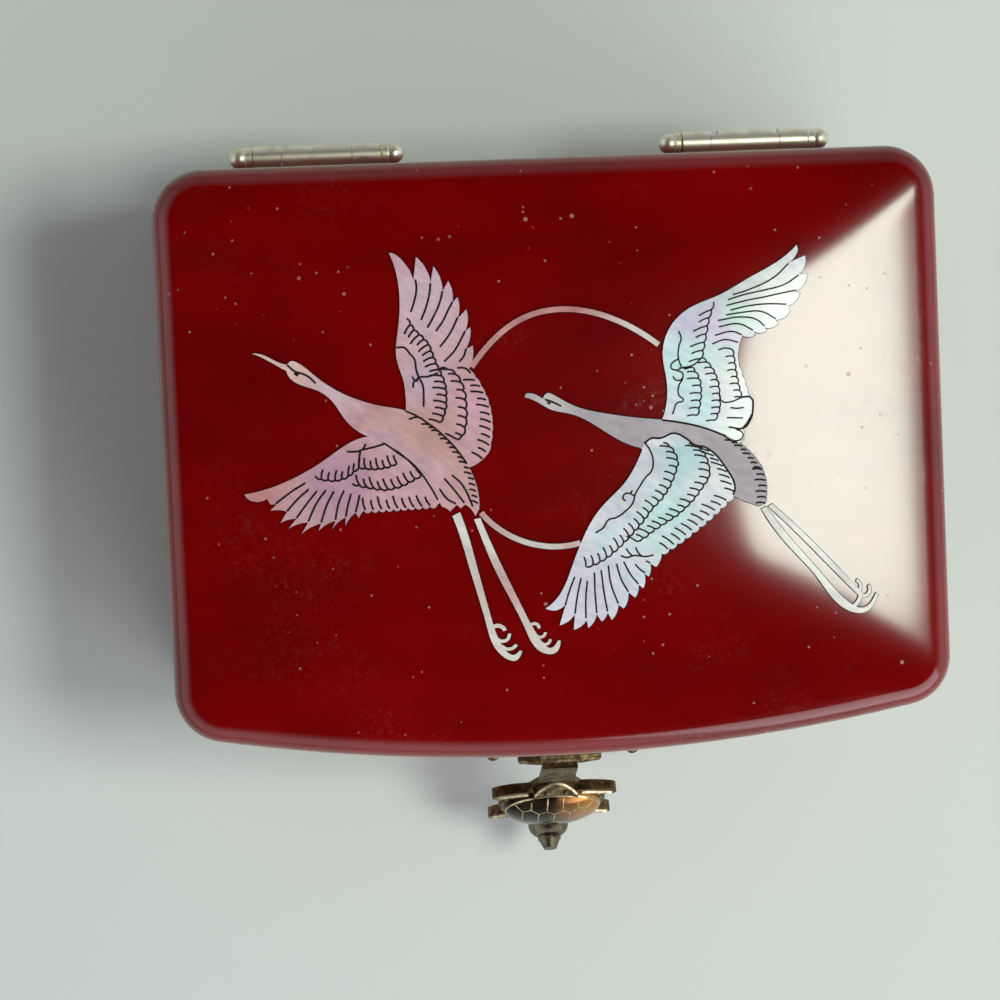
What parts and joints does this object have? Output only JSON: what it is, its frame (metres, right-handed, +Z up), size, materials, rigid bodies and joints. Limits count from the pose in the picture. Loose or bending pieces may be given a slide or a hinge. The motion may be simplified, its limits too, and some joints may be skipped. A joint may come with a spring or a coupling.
{
  "type": "jewelry box",
  "caption": "Lacquered jewelry box with a bowed front, hinged crowned lid with crane and moon inlay, mirror, velvet-lined compartments, and a turtle-shaped hasp that swings over a catch stud.",
  "frame": {"origin": "middle of the felt under the base, on the table", "axes": "+X to the right seen from the front, +Y to the hinged back, +Z up"},
  "size_m": [0.152, 0.1498, 0.0754],
  "materials": {
    "red_lacquer": "deep red gloss lacquer over wood",
    "plywood": "plain thin board",
    "felt": "dark glued felt",
    "velvet": "dark red velvet over card and foam",
    "mirror_glass": "silvered glass",
    "card": "stiff backing card",
    "champagne_nickel": "pale warm plated hinge metal",
    "antique_brass": "worn antique brass",
    "dark_polished_brass": "dark toned polished brass",
    "pink_pearl": "pink mother-of-pearl",
    "blue_pearl": "blue and green mother-of-pearl",
    "grey_pearl": "grey lilac mother-of-pearl",
    "silver_pearl": "white mother-of-pearl"
  },
  "bodies": {
    "case": {"back_lining": "velvet", "back_wall": "red_lacquer", "base_board": "plywood", "base_felt": "felt", "catch_stud": "antique_brass", "floor_pad": "velvet", "front_lining": "velvet", "front_wall": "red_lacquer", "hinge_case_screws": "champagne_nickel", "latch_case_nails": "antique_brass", "latch_case_plate": "antique_brass", "left_divider": "velvet", "left_hinge_case_leaf": "champagne_nickel", "left_hinge_pin": "champagne_nickel", "left_lining": "velvet", "left_wall": "red_lacquer", "long_divider": "velvet", "right_divider": "velvet", "right_hinge_case_leaf": "champagne_nickel", "right_hinge_pin": "champagne_nickel", "right_lining": "velvet", "right_wall": "red_lacquer", "ring_rolls": "velvet"},
    "lid": {"left_crane_body": "pink_pearl", "left_crane_legs": "silver_pearl", "left_crane_lowered_wing": "pink_pearl", "left_crane_raised_wing": "pink_pearl", "lid_back_rail": "red_lacquer", "lid_front_rail": "red_lacquer", "lid_left_rail": "red_lacquer", "lid_lining": "velvet", "lid_right_rail": "red_lacquer", "lid_top": "red_lacquer", "mirror": "mirror_glass", "mirror_backing": "card", "moon_ring": "silver_pearl", "right_crane_body": "grey_pearl", "right_crane_legs": "silver_pearl", "right_crane_lowered_wing": "blue_pearl", "right_crane_raised_wing": "blue_pearl", "left_hinge_lid_leaf": "champagne_nickel", "right_hinge_lid_leaf": "champagne_nickel", "hinge_lid_screws": "champagne_nickel", "latch_lid_plate": "antique_brass", "latch_lid_nails": "antique_brass", "hasp_pin": "antique_brass"},
    "hasp": {"turtle_casting": "antique_brass", "turtle_shell": "dark_polished_brass", "pull_knob": "antique_brass"}
  },
  "joints": [
    {"name": "lid_hinge", "type": "hinge", "parent": "case", "child": "lid", "pos_m": [0, 0.062, 0.0402], "axis": [-1, 0, 0], "range_deg": [0, 100]},
    {"name": "hasp_hinge", "type": "hinge", "parent": "lid", "child": "hasp", "pos_m": [0, -0.0614, 0.0444], "axis": [-1, 0, 0], "range_deg": [-26, 100]}
  ]
}
